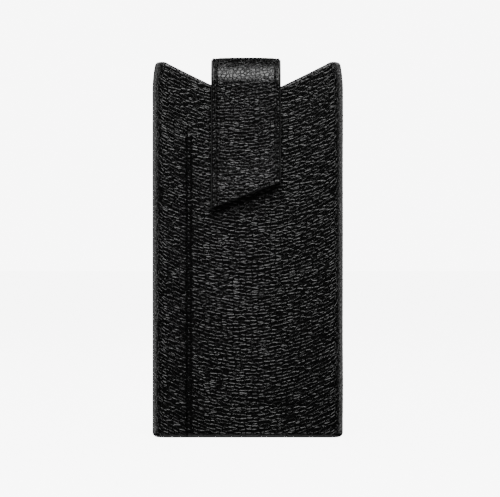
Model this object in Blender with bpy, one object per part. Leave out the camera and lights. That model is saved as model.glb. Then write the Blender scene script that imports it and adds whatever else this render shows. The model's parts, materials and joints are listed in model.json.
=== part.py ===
"""Slip case of grained leather for a slim hand-held device, closed by a strap that is sewn to
the back, runs over a V-shaped mouth and lies on the front, held there by a hidden magnet.

Metres, +Z up, the front faces -Y. The origin is on the floor under the middle of the base.
The strap is leather that bends. It is modelled as four rigid lengths: the root, sewn to the
back; the back and the front half of the arch over the mouth; and the tab, down to the slanted
end. They turn on three axes that lie just outside the strap's outer face.
"""

import math

import bmesh
import bpy
from mathutils import Vector

# ---- driving dimensions --------------------------------------------------------------------
WIDTH = 0.084
THICKNESS = 0.018
CORNER_R = 0.007
EAR_Z = 0.1649
V_Z = 0.1470
EAR_X = 0.0378
EAR_PINCH = 0.0014
PINCH_Z = 0.152
BASE_R = 0.0022
GAP = 0.00025
JOINT_GAP = 0.0003

LEATHER = 0.0011
POCKET_WALL = 0.0004
BOARD = 0.0006
LINING = 0.0005
FACING_HEIGHT = 0.012

SLIT_X = -0.0266
SLIT_WIDTH = 0.0006
SLIT_TOP = 0.1334

STRAP_WIDTH = 0.0306
STRAP_X = -0.0008
STRAP_GAP = 0.00045
STRAP_OUTER = 0.00105
STRAP_FILLER = 0.00070
STRAP_LINING = 0.00070
ROOT_END_Z = 0.100
TAB_END_LEFT_Z = 0.1004
TAB_END_RIGHT_Z = 0.1118

THREAD_WIDTH = 0.0005
THREAD_HEIGHT = 0.0003
STITCH_INSET = 0.0022
THREAD_STOP = 0.0025
TAB_THREAD_END = 0.0014

MAGNET = (0.020, 0.010)
MAGNET_Z = 0.121
WINDOW_MARGIN = 0.0004

CORNER_STEPS = 6
ARCH_STEPS = 6

# ---- worked out from them ------------------------------------------------------------------
HALF_W = WIDTH / 2
HALF_T = THICKNESS / 2
STRAP_T = STRAP_OUTER + STRAP_FILLER + STRAP_LINING + 2 * GAP
STRAP_MID_Y = HALF_T + STRAP_GAP + STRAP_T / 2
ARCH_Z = V_Z + (EAR_Z - V_Z) * (STRAP_WIDTH / 2) / EAR_X + 0.0001
PIVOT_OUT = STRAP_T / 2 + GAP + THREAD_HEIGHT
STRAP_LEFT = STRAP_X - STRAP_WIDTH / 2
STRAP_RIGHT = STRAP_X + STRAP_WIDTH / 2

# Depth of each layer's outer face under the leather's outer face.
POCKET_DEPTH = LEATHER + GAP
BOARD_DEPTH = POCKET_DEPTH + POCKET_WALL + GAP
LINING_DEPTH = BOARD_DEPTH + BOARD + GAP
BOARD_HALF_W = HALF_W - CORNER_R - 0.0015
BASE_INSET = BASE_R + JOINT_GAP

FRONT, BACK = -1, 1


# ---- scene, materials and objects ----------------------------------------------------------
def clear_scene():
    for obj in list(bpy.data.objects):
        bpy.data.objects.remove(obj, do_unlink=True)


def material(name, colour, roughness, metallic=0.0):
    made = bpy.data.materials.new(name)
    made.use_nodes = True
    shader = made.node_tree.nodes["Principled BSDF"]
    shader.inputs["Base Color"].default_value = (*colour, 1.0)
    shader.inputs["Roughness"].default_value = roughness
    shader.inputs["Metallic"].default_value = metallic
    return made


def empty(name, place, parent=None):
    made = bpy.data.objects.new(name, None)
    bpy.context.scene.collection.objects.link(made)
    made.location = Vector(place) - (origin_of(parent) if parent else Vector())
    made.parent = parent
    return made


def origin_of(obj):
    """Where an empty stands in the world, through its parents, none of which is turned."""
    place = obj.location.copy()
    while obj.parent:
        obj = obj.parent
        place += obj.location
    return place


def add(name, mesh, finish, parent):
    """Links a mesh made in world coordinates, with its origin moved to its parent's."""
    bm = bmesh.new()
    bm.from_mesh(mesh)
    bmesh.ops.translate(bm, verts=bm.verts, vec=-origin_of(parent))
    bmesh.ops.recalc_face_normals(bm, faces=bm.faces)
    bm.to_mesh(mesh)
    bm.free()
    mesh.materials.append(finish)
    mesh.shade_smooth()
    mesh.set_sharp_from_angle(angle=math.radians(35))
    obj = bpy.data.objects.new(name, mesh)
    bpy.context.scene.collection.objects.link(obj)
    obj.parent = parent
    return obj


def cut(obj, low, high):
    """Takes a box, given by two world corners, out of obj with a Boolean."""
    bm = bmesh.new()
    bmesh.ops.create_cube(bm, size=1.0)
    size = Vector(high) - Vector(low)
    bmesh.ops.scale(bm, verts=bm.verts, vec=size)
    mesh = bpy.data.meshes.new(obj.name + "_cutter")
    bm.to_mesh(mesh)
    bm.free()
    cutter = bpy.data.objects.new(mesh.name, mesh)
    bpy.context.scene.collection.objects.link(cutter)
    cutter.location = (Vector(low) + Vector(high)) / 2
    cutter.hide_render = True
    cutter.display_type = "WIRE"
    boolean = obj.modifiers.new("window", "BOOLEAN")
    boolean.operation = "DIFFERENCE"
    boolean.object = cutter


# ---- mesh makers ---------------------------------------------------------------------------
def sheet_mesh(name, outer, inner):
    """Closed sheet between two grids of points with the same rows and columns."""
    bm = bmesh.new()
    out = [[bm.verts.new(p) for p in row] for row in outer]
    into = [[bm.verts.new(p) for p in row] for row in inner]
    rows, columns = len(outer), len(outer[0])
    for r in range(rows - 1):
        for c in range(columns - 1):
            for grid in (out, into):
                bm.faces.new((grid[r][c], grid[r][c + 1], grid[r + 1][c + 1], grid[r + 1][c]))
    rim = [(0, c) for c in range(columns)]
    rim += [(r, columns - 1) for r in range(1, rows)]
    rim += [(rows - 1, c) for c in range(columns - 2, -1, -1)]
    rim += [(r, 0) for r in range(rows - 2, 0, -1)]
    for (r0, c0), (r1, c1) in zip(rim, rim[1:] + rim[:1]):
        bm.faces.new((out[r0][c0], out[r1][c1], into[r1][c1], into[r0][c0]))
    mesh = bpy.data.meshes.new(name)
    bm.to_mesh(mesh)
    bm.free()
    return mesh


def prism_mesh(name, outline, low_z, high_z):
    """Closed prism over an outline of (x, y) points."""
    bm = bmesh.new()
    floor = bm.faces.new([bm.verts.new((x, y, low_z)) for x, y in outline])
    raised = bmesh.ops.extrude_face_region(bm, geom=[floor], use_keep_orig=True)
    top = [v for v in raised["geom"] if isinstance(v, bmesh.types.BMVert)]
    bmesh.ops.translate(bm, verts=top, vec=(0, 0, high_z - low_z))
    mesh = bpy.data.meshes.new(name)
    bm.to_mesh(mesh)
    bm.free()
    return mesh


def ribbon_mesh(name, points, normals, closed=False):
    """Flat thread laid along points on a surface, mitred at its corners."""
    count = len(points)
    rings = []
    for i, (point, normal) in enumerate(zip(points, normals)):
        before = points[i - 1] if closed or i else point
        after = points[(i + 1) % count] if closed or i < count - 1 else point
        ins = (point - before).normalized() if before is not point else None
        outs = (after - point).normalized() if after is not point else None
        ins = ins or outs
        outs = outs or ins
        along = (ins + outs).normalized()
        side = along.cross(normal).normalized()
        side *= THREAD_WIDTH / 2 / max(0.3, side.dot(ins.cross(normal).normalized()))
        lift = normal * THREAD_HEIGHT
        rings.append((point - side, point + side, point + side + lift, point - side + lift))
    bm = bmesh.new()
    loops = [[bm.verts.new(p) for p in ring] for ring in rings]
    pairs = list(zip(loops, loops[1:])) + ([(loops[-1], loops[0])] if closed else [])
    for a, b in pairs:
        for k in range(4):
            bm.faces.new((a[k], a[(k + 1) % 4], b[(k + 1) % 4], b[k]))
    if not closed:
        bm.faces.new(loops[0])
        bm.faces.new(loops[-1])
    mesh = bpy.data.meshes.new(name)
    bm.to_mesh(mesh)
    bm.free()
    return mesh


# ---- the pouch's outline -------------------------------------------------------------------
def mouth_z(x):
    """Height of the mouth: a V across the faces, level over each ear."""
    return min(EAR_Z, V_Z + (EAR_Z - V_Z) * abs(x) / EAR_X)


def pinch(z):
    """How much narrower the pouch is at this height, where its ears draw in."""
    rise = max(0.0, z - PINCH_Z) / (EAR_Z - PINCH_Z)
    return 1.0 - EAR_PINCH / HALF_W * rise * rise


def half_outline(depth, side):
    """(x, y) from the left seam to the right one, round one face, at a depth under the skin."""
    radius = CORNER_R - depth
    centre_x, centre_y = HALF_W - CORNER_R, HALF_T - CORNER_R
    seam = JOINT_GAP / 2
    quarter = [math.pi / 2 * k / CORNER_STEPS for k in range(CORNER_STEPS + 1)]
    right = [(centre_x + radius * math.sin(a), centre_y + radius * math.cos(a)) for a in quarter]
    middle = [(centre_x * k / 4, centre_y + radius) for k in range(4)]
    half = middle + right + [(HALF_W - depth, seam)]
    whole = [(-x, y) for x, y in reversed(half[1:])] + half
    return [(x, side * y) for x, y in whole]


def full_outline(depth):
    """Closed rounded rectangle at a depth under the skin."""
    front = half_outline(depth, FRONT)[1:-1]
    back = half_outline(depth, BACK)[1:-1]
    return front + back[::-1]


def wrap_grid(depth, side, low, high, shares):
    """Rows of points up a wrapped layer. low and high give its edges' heights from x."""
    outline = half_outline(depth, side)
    grid = []
    for share in shares:
        row = []
        for x, y in outline:
            z = low(x) + (high(x) - low(x)) * share
            row.append(Vector((x * pinch(z), y, z)))
        grid.append(row)
    return grid


def base_turn(side, inner):
    """Rows that carry a leather panel round the base's edge, from its rim up to BASE_R."""
    radius = BASE_R - (LEATHER if inner else 0.0)
    grid = []
    for k in range(4):
        turn = math.pi / 2 * k / 4
        depth = BASE_R - radius * math.sin(turn)
        height = BASE_R - radius * math.cos(turn)
        grid.append([Vector((x, y, height)) for x, y in half_outline(depth, side)])
    return grid


SHARES = [0.0, 0.45, 0.9, 0.93, 0.96, 0.98, 1.0]


def leather_panel(name, side, finish, parent):
    grids = []
    for inner in (False, True):
        depth = LEATHER if inner else 0.0
        rise = wrap_grid(depth, side, lambda x: BASE_R, mouth_z, SHARES)
        grids.append(base_turn(side, inner) + rise)
    return add(name, sheet_mesh(name, *grids), finish, parent)


def wrapped_layer(name, side, depth, thickness, low, high, finish, parent):
    outer = wrap_grid(depth, side, low, high, SHARES)
    inner = wrap_grid(depth + thickness, side, low, high, SHARES)
    return add(name, sheet_mesh(name, outer, inner), finish, parent)


def flat_layer(name, side, depth, thickness, low_z, drop, finish, parent, top_z=None):
    """Flat stiffener behind a face. Its top follows the mouth, drop below it, or is level."""
    columns = [BOARD_HALF_W * k / 4 for k in range(-4, 5)]
    grids = []
    for y in (side * (HALF_T - depth), side * (HALF_T - depth - thickness)):
        low = [Vector((x, y, low_z)) for x in columns]
        high = [Vector((x, y, top_z or mouth_z(x) - drop)) for x in columns]
        grids.append([low, high])
    return add(name, sheet_mesh(name, *grids), finish, parent)


# ---- the strap's path ----------------------------------------------------------------------
def on_path(angle, x, out):
    """A point of the arch: angle 0 is the back, a half turn is the front."""
    radius = STRAP_MID_Y + out
    return Vector((x, radius * math.cos(angle), ARCH_Z + radius * math.sin(angle)))


def arch_angles(start, end):
    return [start + (end - start) * k / ARCH_STEPS for k in range(ARCH_STEPS + 1)]


def arch_half(part, stop):
    """Angles along one half of the arch, short of both its ends by a length."""
    start = math.pi / 2 if part == "front_arch" else 0.0
    return arch_angles(start + stop / STRAP_MID_Y, start + math.pi / 2 - stop / STRAP_MID_Y)


def tab_end_z(x, inset=0.0):
    """Height of the slanted end at x, or of a line that stays inset above it."""
    slope = (TAB_END_RIGHT_Z - TAB_END_LEFT_Z) / STRAP_WIDTH
    return TAB_END_LEFT_Z + slope * (x - STRAP_LEFT) + inset * math.hypot(1.0, slope)


def strap_rows(part, out):
    """Rows of (left, right) points of one length of the strap, at a distance from its middle."""
    edges = (STRAP_LEFT, STRAP_RIGHT)
    top = ARCH_Z - JOINT_GAP / 2
    y = STRAP_MID_Y + out
    if part == "root":
        return [[Vector((x, y, z)) for x in edges] for z in (ROOT_END_Z, top)]
    if part == "tab":
        return [[Vector((x, -y, z(x))) for x in edges] for z in (lambda x: top, tab_end_z)]
    return [[on_path(a, x, out) for x in edges] for a in arch_half(part, JOINT_GAP / 2)]


PLIES = {
    "outer": (STRAP_T / 2, STRAP_T / 2 - STRAP_OUTER),
    "filler": (STRAP_FILLER + STRAP_LINING + GAP - STRAP_T / 2, STRAP_LINING + GAP - STRAP_T / 2),
    "lining": (STRAP_LINING - STRAP_T / 2, -STRAP_T / 2),
}


def strap_ply(part, ply, finish, parent):
    name = f"{part}_{ply}"
    high, low = PLIES[ply]
    mesh = sheet_mesh(name, strap_rows(part, high), strap_rows(part, low))
    return add(name, mesh, finish, parent)


def thread(name, points, normals, finish, parent, closed=False):
    return add(name, ribbon_mesh(name, points, normals, closed), finish, parent)


def arch_thread(angles, x):
    """Points and normals of a row of stitches along the arch."""
    lift = STRAP_T / 2 + GAP
    points = [on_path(a, x, lift) for a in angles]
    normals = [Vector((0, math.cos(a), math.sin(a))) for a in angles]
    return points, normals


# ---- sub-assemblies ------------------------------------------------------------------------
def build_pouch(finishes, root):
    leather, suede, board = finishes["leather"], finishes["suede"], finishes["board"]
    front = leather_panel("front_panel", FRONT, leather, root)
    slit_low = (SLIT_X - SLIT_WIDTH / 2, -HALF_T - 0.001, -0.001)
    slit_high = (SLIT_X + SLIT_WIDTH / 2, -HALF_T + LEATHER + 0.003, SLIT_TOP)
    cut(front, slit_low, slit_high)
    leather_panel("back_panel", BACK, leather, root)

    for name, side in (("front", FRONT), ("back", BACK)):
        wrapped_layer(
            f"{name}_lining", side, LINING_DEPTH, LINING,
            lambda x: LEATHER + 2 * GAP + BOARD + 0.0003,
            lambda x: mouth_z(x) - FACING_HEIGHT - JOINT_GAP, suede, root,
        )
        wrapped_layer(
            f"{name}_mouth_facing", side, LINING_DEPTH - 0.0001, LINING + 0.0001,
            lambda x: mouth_z(x) - FACING_HEIGHT,
            lambda x: mouth_z(x) - 0.0003, finishes["smooth"], root,
        )
    board_low = LEATHER + 2 * GAP + BOARD + 0.0006
    front_board = flat_layer("front_board", FRONT, BOARD_DEPTH, BOARD, board_low, 0.003, board, root)
    flat_layer("back_board", BACK, BOARD_DEPTH, BOARD, board_low, 0.003, board, root)
    flat_layer(
        "pocket_wall", FRONT, POCKET_DEPTH, POCKET_WALL, board_low, 0.0,
        finishes["smooth"], root, top_z=SLIT_TOP + 0.008,
    )
    build_base(finishes, root)
    build_seam_tapes(finishes["board"], root)
    build_keeper(front_board, finishes["metal"], root)


def build_base(finishes, root):
    """The base: leather outside, a stiffener, and the lining on which the device stands."""
    low = 0.0
    layers = (
        ("base_panel", "leather", BASE_INSET, LEATHER),
        ("base_board", "board", BASE_INSET, BOARD),
        ("base_lining", "suede", LINING_DEPTH + LINING + GAP, LINING),
    )
    for name, finish, depth, thickness in layers:
        mesh = prism_mesh(name, full_outline(depth), low, low + thickness)
        add(name, mesh, finishes[finish], root)
        low += thickness + GAP


def build_seam_tapes(finish, root):
    """Reinforcing tape behind each side seam, on the side's flat strip."""
    depth = LEATHER + GAP
    half = HALF_T - CORNER_R - 0.0001
    for name, side in (("left", -1), ("right", 1)):
        near, far = side * (HALF_W - depth), side * (HALF_W - depth - POCKET_WALL)
        outline = [(near, -half), (near, half), (far, half), (far, -half)]
        mesh = prism_mesh(f"{name}_seam_tape", outline, 0.004, PINCH_Z)
        add(f"{name}_seam_tape", mesh, finish, root)


def magnet_box(y_near, y_far, margin):
    half_x, half_z = MAGNET[0] / 2 + margin, MAGNET[1] / 2 + margin
    low = (STRAP_X - half_x, min(y_near, y_far), MAGNET_Z - half_z)
    high = (STRAP_X + half_x, max(y_near, y_far), MAGNET_Z + half_z)
    return low, high


def block(name, low, high, finish, parent):
    corners = [(low[0], low[1]), (high[0], low[1]), (high[0], high[1]), (low[0], high[1])]
    return add(name, prism_mesh(name, corners, low[2], high[2]), finish, parent)


def build_keeper(board, finish, root):
    """Steel plate in a window of the front board, which the strap's magnet pulls on."""
    near, far = BOARD_DEPTH - HALF_T, BOARD_DEPTH + BOARD - HALF_T
    cut(board, *magnet_box(near - 0.001, far + 0.001, WINDOW_MARGIN))
    block("keeper_plate", *magnet_box(near, far, 0.0), finish, root)


def build_strap(finishes, parents):
    fillers = {}
    for part, parent in parents.items():
        strap_ply(part, "outer", finishes["leather"], parent)
        fillers[part] = strap_ply(part, "filler", finishes["board"], parent)
        strap_ply(part, "lining", finishes["smooth"], parent)
    high, low = PLIES["filler"]
    near, far = -(STRAP_MID_Y + high), -(STRAP_MID_Y + low)
    cut(fillers["tab"], *magnet_box(near - 0.0002, far + 0.0002, WINDOW_MARGIN))
    block("tab_magnet", *magnet_box(near, far, 0.0), finishes["metal"], parents["tab"])
    build_stitching(finishes["thread"], parents)


def build_stitching(finish, parents):
    """Rows of thread, each one connected body, laid on the strap's outer ply."""
    rows = {"left": STRAP_LEFT + STITCH_INSET, "right": STRAP_RIGHT - STITCH_INSET}
    for part in ("back_arch", "front_arch"):
        for name, x in rows.items():
            points, normals = arch_thread(arch_half(part, THREAD_STOP), x)
            thread(f"{part}_{name}_thread", points, normals, finish, parents[part])

    y = STRAP_MID_Y + STRAP_T / 2 + GAP
    top = ARCH_Z - THREAD_STOP
    for name, x in rows.items():
        points = [Vector((x, -y, top)), Vector((x, -y, tab_end_z(x, TAB_THREAD_END)))]
        thread(f"tab_{name}_thread", points, [Vector((0, -1, 0))] * 2, finish, parents["tab"])

    left, right = rows.values()
    low = ROOT_END_Z + STITCH_INSET
    points = [Vector((x, y, z)) for x, z in ((left, low), (right, low), (right, top), (left, top))]
    thread("root_thread", points, [Vector((0, 1, 0))] * 4, finish, parents["root"], closed=True)


def main():
    clear_scene()
    finishes = {
        "leather": material("grained_leather", (0.012, 0.012, 0.013), 0.42),
        "smooth": material("smooth_leather", (0.016, 0.016, 0.017), 0.5),
        "suede": material("suede_lining", (0.03, 0.03, 0.032), 0.95),
        "board": material("fibre_board", (0.25, 0.19, 0.13), 0.8),
        "thread": material("waxed_thread", (0.01, 0.01, 0.01), 0.6),
        "metal": material("nickel_plate", (0.62, 0.60, 0.57), 0.3, metallic=1.0),
    }
    root = empty("pouch", (0, 0, 0))
    reach = STRAP_MID_Y + PIVOT_OUT
    parents = {"root": root}
    parents["back_arch"] = empty("strap_back_arch", (0, reach, ARCH_Z), root)
    parents["front_arch"] = empty("strap_front_arch", (0, 0, ARCH_Z + reach), parents["back_arch"])
    parents["tab"] = empty("strap_tab", (0, -reach, ARCH_Z), parents["front_arch"])
    build_pouch(finishes, root)
    build_strap(finishes, parents)


main()
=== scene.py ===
"""Slip case of black pebble-grained calf with a folding strap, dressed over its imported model.

Every length is in metres. The case stands on the floor and its front faces -Y.
"""

import json
import math

import bmesh
import bpy
import numpy as np
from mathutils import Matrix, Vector


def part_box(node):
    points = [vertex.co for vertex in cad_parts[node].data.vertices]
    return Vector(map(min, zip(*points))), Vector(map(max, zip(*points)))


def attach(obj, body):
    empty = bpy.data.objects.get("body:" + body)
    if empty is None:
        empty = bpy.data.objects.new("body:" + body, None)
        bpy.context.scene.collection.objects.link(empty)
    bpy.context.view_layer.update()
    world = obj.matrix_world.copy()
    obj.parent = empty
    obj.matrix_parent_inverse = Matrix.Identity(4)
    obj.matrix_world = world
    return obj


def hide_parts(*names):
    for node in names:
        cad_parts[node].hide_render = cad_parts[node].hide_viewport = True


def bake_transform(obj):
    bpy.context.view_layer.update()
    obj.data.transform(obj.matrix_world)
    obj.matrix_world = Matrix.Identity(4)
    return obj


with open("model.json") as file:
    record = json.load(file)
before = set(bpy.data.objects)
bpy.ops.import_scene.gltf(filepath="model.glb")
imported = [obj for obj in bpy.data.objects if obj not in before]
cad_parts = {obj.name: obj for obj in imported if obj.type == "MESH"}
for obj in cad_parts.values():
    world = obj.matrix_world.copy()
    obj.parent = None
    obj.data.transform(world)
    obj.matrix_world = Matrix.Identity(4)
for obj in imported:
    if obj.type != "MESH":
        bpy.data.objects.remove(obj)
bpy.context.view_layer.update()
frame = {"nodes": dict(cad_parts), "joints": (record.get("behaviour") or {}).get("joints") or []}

MM = 0.001

# ---- the case's sizes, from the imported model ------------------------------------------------
panel_low, panel_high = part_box("front_panel")
HALF_W = panel_high.x
HALF_T = -panel_low.y
EAR_Z = panel_high.z
CORNER_R = 7.0 * MM
BASE_R = 2.2 * MM
FLAT = HALF_W - CORNER_R
ARC = CORNER_R * math.pi / 2
SEAM_S = FLAT + ARC + HALF_T - CORNER_R - 0.15 * MM
V_Z = 147.0 * MM
EAR_X = 37.8 * MM
EAR_PINCH = 1.4 * MM
PINCH_Z = 152.0 * MM
SLIT_X = -26.6 * MM
SLIT_TOP = 133.4 * MM
FACING_DEPTH = 2.75 * MM
LINING_DEPTH = 2.85 * MM
WALL = 3.35 * MM
FACING_HEIGHT = 12.0 * MM

strap_low, strap_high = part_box("root_outer")
STRAP_X = (strap_low.x + strap_high.x) / 2
STRAP_HALF = (strap_high.x - strap_low.x) / 2
ROOT_END_Z = strap_low.z
STRAP_T = 2.95 * MM
STRAP_R = strap_high.y - STRAP_T / 2
PIVOTS = {joint["name"]: Vector(joint["pos_m"]) for joint in frame["joints"]}
ARCH_Z = PIVOTS["strap_root_hinge"].z
TAB_LEFT_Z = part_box("tab_outer")[0].z
TAB_RIGHT_Z = TAB_LEFT_Z + 11.4 * MM
STITCH_INSET = 2.2 * MM
STITCH_PITCH = 2.2 * MM
THREAD_R = 0.24 * MM

# ---- the hide's grain -----------------------------------------------------------------------
# Sizes of a pebble in millimetres, across and up, in the mesh and in the finish over it.
PEBBLE = (2.3, 1.4)
FINE_PEBBLE = (2.63, 1.515)
GRAIN_DEPTH = 0.07 * MM
SPACING = 0.44 * MM


def smooth(value):
    value = np.clip(value, 0.0, 1.0)
    return value * value * (3.0 - 2.0 * value)


def scatter(i, j, seed):
    """Two repeatable random numbers from 0 to 1 for each cell of a lattice."""
    word = (i * 374761393 + j * 668265263 + seed * 974634777) & 0xFFFFFFFF
    word = ((word ^ (word >> 13)) * 1274126177) & 0xFFFFFFFF
    word ^= word >> 16
    other = (word * 2246822519) & 0xFFFFFFFF
    other ^= other >> 15
    return (word & 0xFFFF) / 65535.0, (other & 0xFFFF) / 65535.0


def drift(u, v, seed):
    """Smooth noise from -1 to 1 with bumps one unit across."""
    i, j = np.floor(u).astype(np.int64), np.floor(v).astype(np.int64)
    a, b = smooth(u - i), smooth(v - j)
    corners = [[scatter(i + di, j + dj, seed)[0] for dj in (0, 1)] for di in (0, 1)]
    low = corners[0][0] * (1 - b) + corners[0][1] * b
    high = corners[1][0] * (1 - b) + corners[1][1] * b
    return 2.0 * (low * (1 - a) + high * a) - 1.0


def pebbles(u, v, seed):
    """Height from 0 in the creases to 1 on the pebbles, which are one unit apart."""
    row = np.floor(v).astype(np.int64)
    nearest = np.full(u.shape, 9.0)
    second = np.full(u.shape, 9.0)
    for dj in (-2, -1, 0, 1, 2):
        j = row + dj
        shift = 0.5 * (j % 2)
        column = np.floor(u - shift).astype(np.int64)
        for di in (-1, 0, 1, 2):
            i = column + di
            across, up = scatter(i, j, seed)
            du = u - (i + shift + 0.15 + 0.7 * across)
            dv = v - (j + 0.15 + 0.7 * up)
            reach = np.sqrt(du * du + dv * dv)
            second = np.minimum(second, np.maximum(reach, nearest))
            nearest = np.minimum(nearest, reach)
    dome = np.clip((second - nearest) / 0.85, 0.0, 1.0)
    return 1.0 - (1.0 - dome) ** 1.6


def hide_flow(s, v, curl, middle=0.0):
    """Coordinates in millimetres on the hide, whose creases sweep upwards at both sides."""
    away = np.abs(s - middle) / MM
    sweep = np.where(away < 32.0, away * away / 2, 32.0 * away - 512.0) * curl
    return s / MM, v / MM - sweep


def grain(s, v, curl, seed, middle=0.0):
    """(height 0 to 1, hide coordinates) of the milled grain at each point."""
    u, v = hide_flow(s, v, curl, middle)
    warp_u = u + 0.5 * drift(u / 5.0, v / 4.0, seed + 1)
    warp_v = v + 0.4 * drift(u / 4.0, v / 3.0, seed + 2)
    height = pebbles(warp_u / PEBBLE[0], warp_v / PEBBLE[1], seed)
    return height, (u, v)


# ---- meshes ---------------------------------------------------------------------------------
def new_piece(name, mesh, finish, angle=50):
    mesh.materials.append(finish)
    mesh.shade_smooth()
    mesh.set_sharp_from_angle(angle=math.radians(angle))
    piece = bpy.data.objects.new(name, mesh)
    bpy.context.scene.collection.objects.link(piece)
    return piece


def build_mesh(name, points, faces, hide=None):
    """Mesh of quads. hide is the place on the hide in millimetres, and how much grain is left."""
    mesh = bpy.data.meshes.new(name)
    mesh.from_pydata(points.tolist(), [], faces.tolist())
    if hide is not None:
        flow = mesh.attributes.new("hide", "FLOAT_VECTOR", "POINT")
        flow.data.foreach_set("vector", hide.astype(np.float32).ravel())
    bm = bmesh.new()
    bm.from_mesh(mesh)
    bmesh.ops.recalc_face_normals(bm, faces=bm.faces)
    bm.to_mesh(mesh)
    bm.free()
    return mesh


def grid_faces(rows, columns, start=0):
    index = np.arange(rows * columns).reshape(rows, columns) + start
    quads = (index[:-1, :-1], index[:-1, 1:], index[1:, 1:], index[1:, :-1])
    return np.stack(quads, -1).reshape(-1, 4)


def rim_faces(rows, columns):
    """Quads that join the borders of two grids, the second straight after the first."""
    index = np.arange(rows * columns).reshape(rows, columns)
    ring = np.concatenate([index[0, :-1], index[:-1, -1], index[-1, :0:-1], index[:0:-1, 0]])
    after = np.roll(ring, -1)
    offset = rows * columns
    return np.stack((ring, after, after + offset, ring + offset), -1)


def slab(name, top, bottom, hide=None):
    """Closed mesh between two grids of points."""
    rows, columns = top.shape[:2]
    points = np.concatenate([top.reshape(-1, 3), bottom.reshape(-1, 3)])
    faces = np.concatenate([
        grid_faces(rows, columns),
        grid_faces(rows, columns, rows * columns),
        rim_faces(rows, columns),
    ])
    if hide is not None:
        hide = np.concatenate([hide.reshape(-1, 3)] * 2)
    return build_mesh(name, points, faces, hide)


# ---- the pouch's walls ----------------------------------------------------------------------
def pinch(z):
    rise = np.clip((z - PINCH_Z) / (EAR_Z - PINCH_Z), 0.0, 1.0)
    return 1.0 - EAR_PINCH / HALF_W * rise * rise


def wall_x(s):
    """Half width reached at s, the way round the outside from the middle of a face."""
    run = np.abs(s)
    turn = np.clip((run - FLAT) / CORNER_R, 0.0, math.pi / 2)
    return np.minimum(run, FLAT) + CORNER_R * np.sin(turn)


def mouth_z(s):
    """The mouth's height: a V across a face, eased into the level tops of the ears."""
    share = wall_x(s) / EAR_X
    eased = 0.5 * (share + 1.0 - np.sqrt((share - 1.0) ** 2 + 0.0016))
    return V_Z + (EAR_Z - V_Z) * eased


def wall_point(s, z, depth, face):
    """Point on a wall: depth goes inwards, and face is -1 in front and 1 behind."""
    run = np.abs(s)
    turn = np.clip((run - FLAT) / CORNER_R, 0.0, math.pi / 2)
    past = np.clip(run - FLAT - ARC, 0.0, None)
    x = np.minimum(run, FLAT) + (CORNER_R - depth) * np.sin(turn)
    y = HALF_T - CORNER_R + (CORNER_R - depth) * np.cos(turn) - past
    return np.stack([np.sign(s) * x * pinch(z), face * y, z], -1)


RIM_R = FACING_DEPTH / 2


def skin_rows():
    """(share of the wall's height, depth, lift) of each row, from under the base over the rim."""
    rows = [(0.0, BASE_R + 0.5 * MM, -BASE_R + 0.5 * MM), (0.0, BASE_R + 0.1 * MM, -BASE_R)]
    for k in range(1, 8):
        turn = math.pi / 2 * k / 8
        rows.append((0.0, BASE_R * (1 - math.sin(turn)), -BASE_R * math.cos(turn)))
    count = round((EAR_Z - BASE_R) / SPACING)
    rows += [(k / count, 0.0, 0.0) for k in range(count + 1)]
    for k in range(1, 9):
        turn = math.pi * k / 8
        rows.append((1.0, RIM_R * (1 - math.cos(turn)), RIM_R * math.sin(turn)))
    rows.append((1.0, FACING_DEPTH, -2.0 * MM))
    return np.array(rows)


def skin_columns(with_slit):
    """(s below the slit's top, s above it, depth below it, depth above it) of each column."""
    turned = [(0.0, 0.9), (0.0, 0.4), (0.05, 0.12), (0.3, 0.02)]
    left = [(-SEAM_S + a * MM, -SEAM_S + a * MM, d * MM, d * MM) for a, d in turned]
    right = [(-a, -b, c, d) for a, b, c, d in reversed(left)]
    inner = SEAM_S - 0.6 * MM
    middle = np.linspace(-inner, inner, round(2 * inner / SPACING) + 1)
    if with_slit:
        middle = middle[np.abs(middle - SLIT_X) > 1.45 * MM]
    middle = [(s, s, 0.0, 0.0) for s in middle]
    if with_slit:
        lips = [(-1.15, 0), (-0.75, 0), (-0.4, 0.02), (-0.2, 0.12), (-0.13, 0.5), (-0.13, 1.3),
                (0.13, 1.3), (0.13, 0.7), (0.17, 0.3), (0.32, 0.08), (0.7, 0.0), (1.15, 0.0)]
        spread = np.linspace(-1.15, 1.15, len(lips))
        middle += [(SLIT_X + a * MM, SLIT_X + b * MM, d * MM, 0.0)
                   for (a, d), b in zip(lips, spread)]
        middle.sort(key=lambda column: column[1])
    return np.array(left + middle + right)


def slit_relief(s, z):
    """(depth, share of grain kept) round the slit: a turned lip right of it, a tucked edge left."""
    e = (s - SLIT_X) / MM
    along = smooth((SLIT_TOP - z) / (2.5 * MM) + 0.3)
    lip = np.where(e > 0, -0.30 * np.exp(-((e / 2.0) ** 4)), 0.15 * np.exp(-((e / 1.2) ** 2)))
    lip = lip + 0.14 * np.exp(-(((e - 2.45) / 0.4) ** 2))
    lip = lip + np.where((e > 0.3) & (e < 2.4), 0.09 * drift(e / 3.0, z / MM / 1.1, 61), 0.0)
    kept = 1.0 - 0.45 * along * smooth(1.4 - np.abs(e - 1.1) / 1.3)
    reach = np.hypot(e, (z - SLIT_TOP) / MM)
    angle = np.arctan2((z - SLIT_TOP) / MM, e)
    tucks = 0.16 * np.cos(9 * angle + 1.0) * np.exp(-reach / 3.0) * smooth(reach / 1.2)
    return (lip * along + tucks) * MM, kept


def blind_bar(s, z):
    """(depth, share of grain kept) of a plain bar pressed into the hide, with no lettering."""
    across = np.abs(s / MM - 14.8) - 8.6
    up = np.abs(z / MM - 15.1)
    inside = 1.7 - np.hypot(np.clip(across, 0.0, None), up)
    pressed = smooth(inside / 0.5 + 0.5)
    return 0.13 * MM * pressed, 1.0 - 0.35 * pressed


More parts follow.
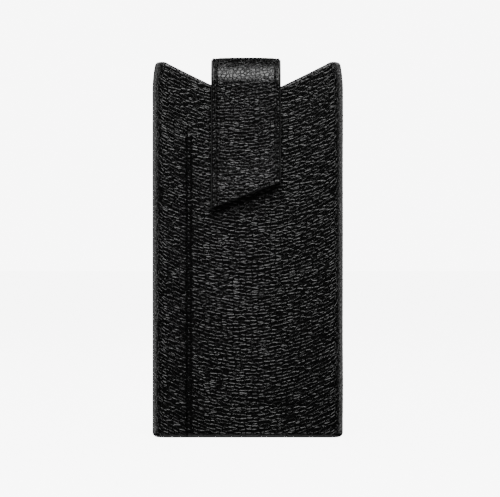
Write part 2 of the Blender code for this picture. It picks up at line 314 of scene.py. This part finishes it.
def outer_skin(name, face, finish, seed):
    """Grained leather wrapped from one side seam round a face to the other."""
    front = face < 0
    columns, rows = skin_columns(front), skin_rows()
    top = mouth_z(columns[:, 1]) - RIM_R
    z = BASE_R + (top[None, :] - BASE_R) * rows[:, :1] + rows[:, 2:]
    open_share = smooth((SLIT_TOP - z) / (0.5 * MM) + 0.5)
    s = columns[:, 1] + (columns[:, 0] - columns[:, 1]) * open_share
    depth = columns[:, 3] + (columns[:, 2] - columns[:, 3]) * open_share + rows[:, 1:2]
    height, flow = grain(s, z, 0.0172, seed)
    kept = np.ones(s.shape)
    kept *= 1.0 - 0.6 * smooth(rows[:, 1:2] / FACING_DEPTH * 1.2) * (rows[:, :1] > 0.5)
    kept *= smooth((SEAM_S - np.abs(s)) / (1.2 * MM)) * 0.85 + 0.15
    relief = 0.07 * MM * drift(s / (19 * MM), z / (23 * MM), seed + 7)
    if front:
        for part in (slit_relief, blind_bar):
            extra, share = part(s, z)
            relief = relief + extra
            kept = kept * share
    on_wall = smooth((z - 0.3 * MM) / (3 * MM)) * (rows[:, 1:2] < FACING_DEPTH - 0.01 * MM)
    depth = depth + np.clip(relief, -0.4 * MM, None) * on_wall
    depth = depth + GRAIN_DEPTH * (1.0 - height) * kept
    points = wall_point(s, np.maximum(z, 0.0), depth, face)
    hide = np.stack([flow[0], flow[1], kept], -1)
    faces = grid_faces(*s.shape)
    if front:
        gap = np.flatnonzero(columns[:, 2] > 1.2 * MM)[0]
        corner = faces[:, 0]
        opened = (corner % s.shape[1] == gap) & (z.ravel()[corner] < SLIT_TOP - 0.4 * MM)
        faces = faces[~opened]
    mesh = build_mesh(name, points.reshape(-1, 3), faces, hide.reshape(-1, 3))
    return new_piece(name, mesh, finish, 70)


def inner_layer(name, face, depth, thickness, low, high, finish, seed):
    """Closed layer inside a wall, with edges eased over at its top and bottom."""
    reach = SEAM_S + 0.15 * MM
    s = np.linspace(-reach, reach, 121)[None, :]
    eased = np.array([0.0, 0.001, 0.003])
    share = np.concatenate([eased, np.linspace(0.006, 0.994, 90), 1 - eased[::-1]])[:, None]
    rounding = [0.5, 0.22, 0.06]
    drop = np.array(rounding + [0.0] * 90 + rounding[::-1])[:, None] * thickness
    z = low(s) + (high(s) - low(s)) * share
    s = np.broadcast_to(s, z.shape)
    wave = 0.05 * MM * drift(s / (9 * MM), z / (11 * MM), seed)
    near = wall_point(s, z, depth + drop * 0.3, face)
    far = wall_point(s, z, depth + thickness - drop + wave, face)
    hide = np.stack([s / MM, z / MM, np.ones(z.shape)], -1)
    return new_piece(name, slab(name, near, far, hide), finish)


def plate(name, depth, low, high, edge, finish):
    """Level plate inside the wall's outline, with eased edges."""
    steps = 10
    corner = [math.pi / 2 * k / steps for k in range(steps + 1)]
    quarter = [(math.sin(a), math.cos(a)) for a in corner]
    signs = ((1, 1, False), (1, -1, True), (-1, -1, False), (-1, 1, True))
    bm = bmesh.new()
    rings = []
    for inset, z in ((edge, low), (edge * 0.3, low + edge * 0.3), (0, low + edge),
                     (0, high - edge), (edge * 0.3, high - edge * 0.3), (edge, high)):
        radius = CORNER_R - depth - inset
        ring = []
        for sx, sy, back in signs:
            for px, py in (quarter[::-1] if back else quarter):
                x = sx * (FLAT + radius * px)
                y = sy * (HALF_T - CORNER_R + radius * py)
                ring.append(bm.verts.new((x, y, z)))
        rings.append(ring)
    for lower, upper in zip(rings, rings[1:]):
        for k in range(len(lower)):
            n = (k + 1) % len(lower)
            bm.faces.new((lower[k], lower[n], upper[n], upper[k]))
    bm.faces.new(rings[0])
    bm.faces.new(rings[-1])
    bmesh.ops.recalc_face_normals(bm, faces=bm.faces)
    mesh = bpy.data.meshes.new(name)
    bm.to_mesh(mesh)
    bm.free()
    flow = mesh.attributes.new("hide", "FLOAT_VECTOR", "POINT")
    for vertex, value in zip(mesh.vertices, flow.data):
        value.vector = (vertex.co.x / MM, vertex.co.y / MM, 0.8)
    return new_piece(name, mesh, finish)


# ---- the strap ------------------------------------------------------------------------------
ROOT_RUN = ARCH_Z - ROOT_END_Z
ARCH_RUN = math.pi * STRAP_R
LENGTHS = {
    "root": (0.0, ROOT_RUN + ARCH_RUN / 4),
    "crest": (ROOT_RUN + ARCH_RUN / 4, ROOT_RUN + ARCH_RUN * 3 / 4),
    "tab": (ROOT_RUN + ARCH_RUN * 3 / 4, None),
}


def tab_end(x):
    """The way along the strap to its slanted end, at x across it."""
    slant = (TAB_RIGHT_Z - TAB_LEFT_Z) / (2 * STRAP_HALF)
    return ROOT_RUN + ARCH_RUN + ARCH_Z - TAB_LEFT_Z - slant * (x + STRAP_HALF)


def strap_point(t, x, n):
    """Point on the strap: t along it from the root, x across it, n out from its middle.

    The last 20 mm before the slanted end rise 1 mm off the case."""
    n = n + 1.0 * MM * smooth(1.0 - (tab_end(x) - t) / (20 * MM))
    angle = np.clip((t - ROOT_RUN) / STRAP_R, 0.0, math.pi)
    back = np.clip(ROOT_RUN - t, 0.0, None)
    down = np.clip(t - ROOT_RUN - ARCH_RUN, 0.0, None)
    y = (STRAP_R + n) * np.cos(angle)
    z = ARCH_Z + (STRAP_R + n) * np.sin(angle) - back - down
    return np.stack([STRAP_X + x, y, z], -1)


def strap_grid(length, half, spacing, rim):
    """(t, x, how near the edge: 0 on it, 1 clear of it) over one length of the strap."""
    start, end = LENGTHS[length]
    edge = np.array(rim) * MM
    count = round(2 * (half - edge[-1]) / spacing)
    x = np.concatenate([-half + edge[:-1], np.linspace(-half + edge[-1], half - edge[-1], count),
                        half - edge[-2::-1]])
    stop = np.full(x.shape, end) if end else tab_end(x)
    run = float(np.max(stop) - start)
    share = np.linspace(0.0, 1.0, round(run / spacing))
    close = edge[:-1] / run
    if length == "root":
        share = np.concatenate([close, share[share > edge[-1] / run]])
    if length == "tab":
        share = np.concatenate([share[share < 1 - edge[-1] / run], 1 - close[::-1]])
    t = start + (stop[None, :] - start) * share[:, None]
    x = np.broadcast_to(x, t.shape)
    away = half - np.abs(x)
    if length == "root":
        away = np.minimum(away, t)
    if length == "tab":
        away = np.minimum(away, (stop[None, :] - t) * 1.9)
    return t, x, away


RIM = (0.0, 0.04, 0.14, 0.3, 0.55)


def eased_edge(away, radius):
    """How far a surface drops towards a rounded edge."""
    inwards = np.clip(away / radius, 0.0, 1.0)
    return radius * (1.0 - np.sqrt(np.clip(1.0 - (1.0 - inwards) ** 2, 0.0, 1.0)))


SEW_X = STRAP_HALF - STITCH_INSET
CROSS_ROWS = (STITCH_INSET, ROOT_RUN - 4.6 * MM)


def sewn_depth(t, x):
    """How deep the stitches pull the outer ply down, along both edges and across the root."""
    off = (np.abs(x) - SEW_X) / MM
    hole = 0.5 - 0.5 * np.cos(2 * math.pi * t / STITCH_PITCH)
    depth = (0.30 + 0.20 * (1 - hole)) * np.exp(-((off / 0.45) ** 2))
    for row in CROSS_ROWS:
        across = np.exp(-(((t - row) / MM / 0.42) ** 2))
        across = across * smooth((SEW_X + 0.3 * MM - np.abs(x)) / MM)
        depth = np.maximum(depth, 0.34 * across)
    return depth * MM


def outer_ply(length, finish):
    name = f"strap_{length}_leather"
    t, x, away = strap_grid(length, STRAP_HALF - 0.5 * MM, SPACING, RIM)
    height, flow = grain(x, -t, 0.010, 23, middle=-9 * MM)
    crown = 0.30 * MM * np.clip(1.0 - (x / SEW_X) ** 2, 0.0, None) ** 0.6
    kept = smooth(away / (0.9 * MM)) * 0.9 + 0.1
    n = STRAP_T / 2 + crown - sewn_depth(t, x) - eased_edge(away, 0.5 * MM)
    if length == "tab":
        left = (tab_end(x) - t) / MM
        n = n - 0.17 * MM * np.exp(-(((left - 1.5) / 0.22) ** 2))
        n = n + 0.12 * MM * np.exp(-(((left - 0.4) / 0.22) ** 2))
    n = n - GRAIN_DEPTH * 0.85 * (1.0 - height) * kept
    top = strap_point(t, x, n)
    bottom = strap_point(t, x, np.full(t.shape, STRAP_T / 2 - 1.1 * MM))
    into_arch = smooth((t - ROOT_RUN) / (6 * MM))
    out_of_arch = smooth((ROOT_RUN + ARCH_RUN + 9 * MM - t) / (20 * MM))
    finer = 1.2 + 0.5 * into_arch * out_of_arch
    hide = np.stack([flow[0] * finer, flow[1] * 1.1, kept], -1)
    return new_piece(name, slab(name, top, bottom, hide), finish, 70)


def plain_ply(length, layer, half, low, high, radius, finish):
    """Filler or lining ply, with both its edges rounded."""
    name = f"strap_{length}_{layer}"
    t, x, away = strap_grid(length, half, 0.9 * MM, RIM)
    drop = eased_edge(away, radius)
    wave = 0.03 * MM * drift(x / (4 * MM), t / (5 * MM), 31)
    top = strap_point(t, x, high - drop)
    bottom = strap_point(t, x, low + drop + wave * smooth(away / MM))
    hide = np.stack([x / MM, t / MM, np.ones(t.shape)], -1)
    return new_piece(name, slab(name, top, bottom, hide), finish, 70)


def stitch_runs():
    """(t, x) of the two ends of every stitch."""
    runs = []
    for side in (-1, 1):
        x = side * SEW_X
        stop = float(tab_end(np.array(x))) - 1.4 * MM
        count = int((stop - CROSS_ROWS[0]) / STITCH_PITCH)
        for k in range(count):
            t = CROSS_ROWS[0] + k * STITCH_PITCH
            runs.append(((t, x), (t + STITCH_PITCH, x)))
    count = round(2 * SEW_X / STITCH_PITCH)
    for t in CROSS_ROWS:
        for k in range(count):
            a = -SEW_X + 2 * SEW_X * k / count
            b = -SEW_X + 2 * SEW_X * (k + 1) / count
            runs.append(((t, a), (t, b)))
    return runs


def stitching(length, finish):
    """Every stitch on one length of the strap, each a strand that dives into its holes."""
    start, end = LENGTHS[length]
    end = end or 1.0
    sides, steps = 8, 7
    points, faces, hide = [], [], []
    for (t0, x0), (t1, x1) in stitch_runs():
        if not start <= (t0 + t1) / 2 < end:
            continue
        base = len(points) * sides
        for k in range(steps + 1):
            share = 0.08 + 0.84 * k / steps
            arch = math.sin(math.pi * k / steps)
            t, x = t0 + (t1 - t0) * share, x0 + (x1 - x0) * share
            radius = THREAD_R * (0.7 + 0.3 * arch)
            lift = STRAP_T / 2 - 0.34 * MM + 0.26 * MM * arch ** 0.6
            angles = 2 * math.pi * np.arange(sides) / sides
            away = radius * np.cos(angles)
            along = abs(t1 - t0) > abs(x1 - x0)
            ring_t = np.full(sides, t) if along else t + away
            ring_x = x + away if along else np.full(sides, x)
            points.append(strap_point(ring_t, ring_x, lift + radius * np.sin(angles)))
            run = np.full(sides, share * STITCH_PITCH / MM)
            hide.append(np.stack([run, angles, np.ones(sides)], -1))
            if k:
                a = base + (k - 1) * sides + np.arange(sides)
                b = base + (k - 1) * sides + (np.arange(sides) + 1) % sides
                faces.append(np.stack((a, b, b + sides, a + sides), -1))
    name = f"strap_{length}_stitches"
    mesh = build_mesh(name, np.concatenate(points), np.concatenate(faces), np.concatenate(hide))
    return new_piece(name, mesh, finish, 80)


# ---- finishes -------------------------------------------------------------------------------
# Real sizes in millimetres that set the scales of the patterns.
PORE = 0.385
NAP_PATCH = 2.86
FIBRE = 0.111
RIPPLE = 1.11
TWIST = 2.22
FLECK = 1.11


def srgb(text):
    """Linear colour from an sRGB hex value."""
    parts = [int(text[k:k + 2], 16) / 255 for k in (1, 3, 5)]
    return (*[c / 12.92 if c <= 0.04045 else ((c + 0.055) / 1.055) ** 2.4 for c in parts], 1.0)


def add_node(tree, kind, sockets=None, **settings):
    """Adds a node, sets its properties, and gives its inputs values or links."""
    made = tree.nodes.new(kind)
    for name, value in settings.items():
        setattr(made, name, value)
    for name, value in (sockets or {}).items():
        if isinstance(value, bpy.types.NodeSocket):
            tree.links.new(value, made.inputs[name])
        else:
            made.inputs[name].default_value = value
    return made


def new_finish(name):
    finish = bpy.data.materials.new(name)
    finish.use_nodes = True
    return finish, finish.node_tree, finish.node_tree.nodes["Principled BSDF"]


def blend_colours(tree, share, first, second):
    """Mix of two sRGB colours by a share from 0 to 1."""
    mix = add_node(tree, "ShaderNodeMix", data_type="RGBA")
    tree.links.new(share, mix.inputs[0])
    mix.inputs[6].default_value = srgb(first)
    mix.inputs[7].default_value = srgb(second)
    return mix.outputs[2]


def to_range(tree, value, low, high, from_low=0.0, from_high=1.0, curve="LINEAR"):
    made = add_node(tree, "ShaderNodeMapRange", {
        "Value": value, "From Min": from_low, "From Max": from_high,
        "To Min": low, "To Max": high,
    }, interpolation_type=curve)
    return made.outputs["Result"]


def hide_coordinates(tree, stretch):
    """The place on the hide in millimetres, stretched, and how much grain is left there."""
    hide = add_node(tree, "ShaderNodeAttribute", attribute_name="hide")
    parts = add_node(tree, "ShaderNodeSeparateXYZ", {"Vector": hide.outputs["Vector"]})
    flat = add_node(tree, "ShaderNodeCombineXYZ",
                    {"X": parts.outputs["X"], "Y": parts.outputs["Y"]})
    placed = add_node(tree, "ShaderNodeMapping",
                      {"Vector": flat.outputs["Vector"], "Scale": stretch})
    return placed.outputs["Vector"], parts.outputs["Z"]


def grained_calf():
    """Full-grain calf, drum-dyed black, milled so that it pebbles and finished semi-matt.

    The eye gets dark creases, shaped by the bumps and also painted: the colour is darker down in
    the creases and paler on the pebbles, as painted shade. It gets a soft gloss on each pebble and
    fine hair pores. The scales below
    count pebbles: cells one pebble across, folds under half of one, pores a ninth."""
    finish, tree, shader = new_finish("black_milled_calf")
    where, kept = hide_coordinates(tree, (1 / FINE_PEBBLE[0], 1 / FINE_PEBBLE[1], 1.0))
    stray = add_node(tree, "ShaderNodeTexNoise", {"Vector": where, "Scale": 1.4, "Detail": 2.0})
    shift = add_node(tree, "ShaderNodeVectorMath",
                     {0: stray.outputs["Color"], 1: (0.25, 0.25, 0.0)}, operation="MULTIPLY")
    strayed = add_node(tree, "ShaderNodeVectorMath", {0: where, 1: shift.outputs["Vector"]},
                       operation="ADD").outputs["Vector"]
    cells = add_node(tree, "ShaderNodeTexVoronoi",
                     {"Vector": strayed, "Scale": 1.0, "Randomness": 0.7},
                     feature="DISTANCE_TO_EDGE")
    folds = add_node(tree, "ShaderNodeTexVoronoi", {"Vector": strayed, "Scale": 2.3},
                     feature="DISTANCE_TO_EDGE")
    pores = add_node(tree, "ShaderNodeTexNoise", {"Vector": where, "Scale": 9.0, "Detail": 3.0})
    cloud = add_node(tree, "ShaderNodeTexNoise", {"Vector": where, "Scale": 0.1, "Detail": 2.0})
    dome = to_range(tree, cells.outputs["Distance"], 0.0, 1.0, 0.0, 0.17, "SMOOTHSTEP")
    crease = to_range(tree, folds.outputs["Distance"], 0.0, 1.0, 0.0, 0.16)
    grain_bump = add_node(tree, "ShaderNodeBump",
                          {"Height": dome, "Strength": kept, "Distance": 0.00013})
    fold_bump = add_node(tree, "ShaderNodeBump", {
        "Height": crease, "Strength": kept, "Distance": 0.000015,
        "Normal": grain_bump.outputs["Normal"],
    })
    pore_bump = add_node(tree, "ShaderNodeBump", {
        "Height": pores.outputs["Fac"], "Strength": 0.25, "Distance": 0.00004,
        "Normal": fold_bump.outputs["Normal"],
    })
    # Painted shade: the colour follows the pebbles' height, darker down in the creases and paler on
    # the pebble tops.
    colour = blend_colours(tree, dome, "#020202", "#060606")
    tree.links.new(colour, shader.inputs["Base Color"])
    worn = add_node(tree, "ShaderNodeMath",
                    {0: dome, 1: to_range(tree, cloud.outputs["Fac"], 0.8, 1.15)},
                    operation="MULTIPLY")
    rough = to_range(tree, worn.outputs["Value"], 0.28, 0.21)
    tree.links.new(rough, shader.inputs["Roughness"])
    tree.links.new(pore_bump.outputs["Normal"], shader.inputs["Normal"])
    shader.inputs["IOR"].default_value = 1.5
    return finish


def lining_calf():
    """Thin smooth calf for facings and the strap's underside, black and matt."""
    finish, tree, shader = new_finish("smooth_lining_calf")
    where, _ = hide_coordinates(tree, (1.0, 1.0, 1.0))
    pores = add_node(tree, "ShaderNodeTexVoronoi", {"Vector": where, "Scale": 1 / PORE})
    cloud = add_node(tree, "ShaderNodeTexNoise", {"Vector": where, "Scale": 1 / 5, "Detail": 4.0})
    bump = add_node(tree, "ShaderNodeBump", {
        "Height": pores.outputs["Distance"], "Strength": 0.3, "Distance": 0.00004})
    colour = blend_colours(tree, cloud.outputs["Fac"], "#121213", "#1c1c1d")
    tree.links.new(colour, shader.inputs["Base Color"])
    tree.links.new(to_range(tree, cloud.outputs["Fac"], 0.46, 0.6), shader.inputs["Roughness"])
    tree.links.new(bump.outputs["Normal"], shader.inputs["Normal"])
    return finish


def suede_microfibre():
    """Brushed polyester suede. Its nap gives soft cloudy patches and a pale edge."""
    finish, tree, shader = new_finish("suede_microfibre")
    where, _ = hide_coordinates(tree, (1.0, 0.6, 1.0))
    nap = add_node(tree, "ShaderNodeTexNoise",
                   {"Vector": where, "Scale": 1 / NAP_PATCH, "Detail": 5.0})
    fibres = add_node(tree, "ShaderNodeTexNoise",
                      {"Vector": where, "Scale": 1 / FIBRE, "Detail": 2.0})
    bump = add_node(tree, "ShaderNodeBump", {
        "Height": fibres.outputs["Fac"], "Strength": 0.6, "Distance": 0.0001})
    colour = blend_colours(tree, nap.outputs["Fac"], "#161617", "#2a2a2c")
    tree.links.new(colour, shader.inputs["Base Color"])
    tree.links.new(to_range(tree, fibres.outputs["Fac"], 0.85, 1.0), shader.inputs["Roughness"])
    tree.links.new(bump.outputs["Normal"], shader.inputs["Normal"])
    shader.inputs["Sheen Weight"].default_value = 0.3
    shader.inputs["Sheen Roughness"].default_value = 0.5
    return finish


def edge_paint():
    """Black acrylic edge paint, laid on in coats: satin, with faint ripples along the edge."""
    finish, tree, shader = new_finish("satin_edge_paint")
    where, _ = hide_coordinates(tree, (1.0, 0.35, 1.0))
    ripple = add_node(tree, "ShaderNodeTexNoise",
                      {"Vector": where, "Scale": 1 / RIPPLE, "Detail": 3.0})
    bump = add_node(tree, "ShaderNodeBump", {
        "Height": ripple.outputs["Fac"], "Strength": 0.4, "Distance": 0.00006})
    colour = blend_colours(tree, ripple.outputs["Fac"], "#09090a", "#121212")
    tree.links.new(colour, shader.inputs["Base Color"])
    tree.links.new(to_range(tree, ripple.outputs["Fac"], 0.46, 0.6), shader.inputs["Roughness"])
    tree.links.new(bump.outputs["Normal"], shader.inputs["Normal"])
    return finish


def waxed_thread():
    """Twisted polyester thread in black wax, three turns of twist to each stitch."""
    finish, tree, shader = new_finish("waxed_thread")
    where, _ = hide_coordinates(tree, (1.0, 0.25, 1.0))
    twist = add_node(tree, "ShaderNodeTexWave",
                     {"Vector": where, "Scale": 1 / TWIST, "Distortion": 0.4},
                     bands_direction="DIAGONAL")
    bump = add_node(tree, "ShaderNodeBump", {
        "Height": twist.outputs["Fac"], "Strength": 0.8, "Distance": 0.00006})
    # Painted shade: the colour follows the twist's bands, darker down in the grooves between the
    # plies and paler on their crests.
    colour = blend_colours(tree, twist.outputs["Fac"], "#060606", "#131313")
    tree.links.new(colour, shader.inputs["Base Color"])
    tree.links.new(to_range(tree, twist.outputs["Fac"], 0.62, 0.45), shader.inputs["Roughness"])
    tree.links.new(bump.outputs["Normal"], shader.inputs["Normal"])
    return finish


def bonded_board():
    """Leather-fibre board: ground leather pressed with latex, brown, flecked and dull."""
    finish, tree, shader = new_finish("bonded_leather_board")
    where = add_node(tree, "ShaderNodeTexCoord").outputs["Object"]
    flecks = add_node(tree, "ShaderNodeTexNoise",
                      {"Vector": where, "Scale": 1 / (FLECK * MM), "Detail": 4.0})
    bump = add_node(tree, "ShaderNodeBump", {
        "Height": flecks.outputs["Fac"], "Strength": 0.4, "Distance": 0.00008})
    colour = blend_colours(tree, flecks.outputs["Fac"], "#6a5340", "#9a7f62")
    tree.links.new(colour, shader.inputs["Base Color"])
    tree.links.new(to_range(tree, flecks.outputs["Fac"], 0.75, 0.92), shader.inputs["Roughness"])
    tree.links.new(bump.outputs["Normal"], shader.inputs["Normal"])
    return finish


def nickelled_steel():
    """Steel plate and magnet, barrel-plated in nickel: satin with fine scratches."""
    finish, tree, shader = new_finish("barrel_nickelled_steel")
    where = add_node(tree, "ShaderNodeTexCoord").outputs["Object"]
    drawn = add_node(tree, "ShaderNodeMapping", {"Vector": where, "Scale": (60.0, 1.0, 1400.0)})
    scratches = add_node(tree, "ShaderNodeTexNoise",
                         {"Vector": drawn.outputs["Vector"], "Scale": 4.0, "Detail": 3.0})
    bump = add_node(tree, "ShaderNodeBump", {
        "Height": scratches.outputs["Fac"], "Strength": 0.3, "Distance": 0.00002})
    colour = blend_colours(tree, scratches.outputs["Fac"], "#c4bfb6", "#d8d4cc")
    tree.links.new(colour, shader.inputs["Base Color"])
    tree.links.new(to_range(tree, scratches.outputs["Fac"], 0.22, 0.38), shader.inputs["Roughness"])
    tree.links.new(bump.outputs["Normal"], shader.inputs["Normal"])
    shader.inputs["Metallic"].default_value = 1.0
    return finish


# ---- assembly -------------------------------------------------------------------------------
def place(piece, slot, *nodes):
    """The piece stands for these nodes, on the pouch. The slot is not used."""
    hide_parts(*nodes)
    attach(piece, "pouch")


def dress_pouch(calf, lining, suede):
    place(outer_skin("front_leather", -1, calf, 5), "grained_leather", "front_panel")
    place(outer_skin("back_leather", 1, calf, 47), "grained_leather", "back_panel")
    place(plate("base_leather", BASE_R + 0.2 * MM, 0.0, 1.1 * MM, 0.25 * MM, calf),
          "grained_leather", "base_panel")
    inset = WALL + 0.1 * MM
    bay_floor = plate("bay_floor", inset, 2.2 * MM, 2.7 * MM, 0.12 * MM, suede)
    place(bay_floor, "suede_lining", "base_lining")
    for name, face, seed in (("front", -1, 71), ("back", 1, 83)):
        facing = inner_layer(
            f"{name}_facing", face, FACING_DEPTH, WALL - FACING_DEPTH,
            lambda s: mouth_z(s) - FACING_HEIGHT, lambda s: mouth_z(s) - RIM_R + 0.2 * MM,
            lining, seed)
        place(facing, "smooth_leather", f"{name}_mouth_facing")
        cloth = inner_layer(
            f"{name}_suede", face, LINING_DEPTH, WALL - LINING_DEPTH,
            lambda s: np.full(s.shape, 2.5 * MM), lambda s: mouth_z(s) - FACING_HEIGHT - 0.1 * MM,
            suede, seed + 3)
        place(cloth, "suede_lining", f"{name}_lining")


# Where each bend starts and ends. BEND keeps it clear of the cuts, at 45 degrees round the arch.
BEND = 6.6 * MM
SPANS = {
    "root": ("pouch", "strap_back_arch", (0, 0, ARCH_Z - 5 * MM), (0, 0, ARCH_Z + BEND)),
    "crest": ("strap_back_arch", "strap_front_arch", (0, BEND, 0), (0, -BEND, 0)),
    "tab": ("strap_front_arch", "strap_tab", (0, 0, ARCH_Z + BEND), (0, 0, ARCH_Z - 8 * MM)),
}
STANDS_FOR = {"root": ("root", "back_arch"), "crest": ("front_arch",), "tab": ("tab",)}


def dress_strap(calf, lining, paint, thread):
    for length, bodies in SPANS.items():
        plies = {
            "outer": ("grained_leather", outer_ply(length, calf)),
            "filler": ("grained_leather", plain_ply(
                length, "painted_edge", STRAP_HALF, -STRAP_T / 2 + 0.6 * MM,
                STRAP_T / 2 - 0.8 * MM, 0.3 * MM, paint)),
            "lining": ("smooth_leather", plain_ply(
                length, "underside", STRAP_HALF - 0.1 * MM, -STRAP_T / 2,
                -STRAP_T / 2 + 0.75 * MM, 0.35 * MM, lining)),
            "thread": ("waxed_thread", stitching(length, thread)),
        }
        for ply, (slot, piece) in plies.items():
            nodes = [n for n in frame["nodes"] for part in STANDS_FOR[length]
                     if n.startswith(part + "_") and n.endswith(ply)]
            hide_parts(*nodes)
            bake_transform(piece)


def dress_hidden_nodes(lining, board, nickel):
    finishes = {
        "front_board": board, "back_board": board, "base_board": board,
        "left_seam_tape": board, "right_seam_tape": board,
        "pocket_wall": lining, "keeper_plate": nickel, "tab_magnet": nickel,
    }
    for name, finish in finishes.items():
        node = frame["nodes"][name]
        node.data.materials.clear()
        node.data.materials.append(finish)


# ---- studio ---------------------------------------------------------------------------------
def softbox(name, place, size, power):
    """Rectangular softbox that faces the middle of the case."""
    data = bpy.data.lights.new(name, "AREA")
    data.shape = "RECTANGLE"
    data.size, data.size_y = size
    data.energy = power
    lamp = bpy.data.objects.new(name, data)
    lamp.location = place
    lamp.rotation_euler = (Vector((0, 0, 0.08)) - Vector(place)).to_track_quat("-Z", "Y").to_euler()
    lamp.visible_camera = False
    bpy.context.scene.collection.objects.link(lamp)


def studio():
    """White paper floor and backdrop, in a room kept dark so that black leather stays black.

    The leather sees two things in the room: pale light from behind the case, level with it, which
    draws its side edges, and the floor's bounce from straight below, which draws its lower edge."""
    floor_mesh = bpy.data.meshes.new("floor")
    floor_mesh.from_pydata([(-9, -9, 0), (9, -9, 0), (9, 9, 0), (-9, 9, 0)], [], [(0, 1, 2, 3)])
    paper, tree, shader = new_finish("backlit_white_paper")
    speckle = add_node(tree, "ShaderNodeTexNoise", {"Scale": 40.0})
    colour = blend_colours(tree, speckle.outputs["Fac"], "#f2f2f2", "#f6f6f6")
    tree.links.new(colour, shader.inputs["Base Color"])
    shader.inputs["Roughness"].default_value = 0.9
    shader.inputs["Specular IOR Level"].default_value = 0.1
    shader.inputs["Emission Color"].default_value = srgb("#ffffff")
    shader.inputs["Emission Strength"].default_value = 7.3
    floor = new_piece("floor", floor_mesh, paper)
    floor.location.z = -0.0001
    floor.visible_glossy = False
    floor.visible_diffuse = False

    world = bpy.data.worlds.new("dark_room_white_backdrop")
    world.use_nodes = True
    tree = world.node_tree
    room = tree.nodes["Background"]
    room.inputs["Color"].default_value = srgb("#ffffff")
    aim = add_node(tree, "ShaderNodeTexCoord").outputs["Generated"]
    aim = add_node(tree, "ShaderNodeSeparateXYZ", {"Vector": aim})
    behind = to_range(tree, aim.outputs["Y"], 0.1, 1.0, -0.1, 0.4, "SMOOTHSTEP")
    height = add_node(tree, "ShaderNodeMath", {0: aim.outputs["Z"]}, operation="ABSOLUTE")
    level = to_range(tree, height.outputs["Value"], 0.65, 0.0, 0.05, 0.24, "SMOOTHSTEP")
    under = to_range(tree, aim.outputs["Z"], 0.8, 0.015, -0.9, -0.6, "SMOOTHSTEP")
    bounce = add_node(tree, "ShaderNodeMath", {0: behind, 1: level, 2: under},
                      operation="MULTIPLY_ADD")
    tree.links.new(bounce.outputs["Value"], room.inputs["Strength"])
    backdrop = add_node(tree, "ShaderNodeBackground", {"Color": srgb("#ffffff"), "Strength": 8.0})
    seen = add_node(tree, "ShaderNodeLightPath").outputs["Is Camera Ray"]
    both = add_node(tree, "ShaderNodeMixShader", {"Fac": seen})
    tree.links.new(room.outputs[0], both.inputs[1])
    tree.links.new(backdrop.outputs[0], both.inputs[2])
    tree.links.new(both.outputs[0], tree.nodes["World Output"].inputs["Surface"])
    bpy.context.scene.world = world

    softbox("front_key", (0, -0.8, 0.92), (0.8, 0.6), 13)
    softbox("top_key", (0, -0.4, 1.15), (0.7, 0.3), 4)
    for side in (-1, 1):
        softbox("front_fill", (side * 1.0, -0.15, 0.5), (0.4, 0.5), 0.3)
        softbox("back_key", (side * 0.75, 0.65, 0.8), (0.7, 0.5), 3)
        softbox("side_strip", (side * 0.95, 0.3, 0.2), (0.3, 0.9), 1.4)


def camera():
    data = bpy.data.cameras.new("camera")
    data.lens = 200
    data.sensor_width = 36
    view = bpy.data.objects.new("camera", data)
    view.location = (0.98 * MM, -1.215 - HALF_T, 82.9 * MM)
    view.rotation_euler = (math.pi / 2, 0, 0)
    bpy.context.scene.collection.objects.link(view)
    bpy.context.scene.camera = view


def main():
    calf, lining = grained_calf(), lining_calf()
    dress_pouch(calf, lining, suede_microfibre())
    dress_strap(calf, lining, edge_paint(), waxed_thread())
    dress_hidden_nodes(lining, bonded_board(), nickelled_steel())
    studio()
    camera()


main()
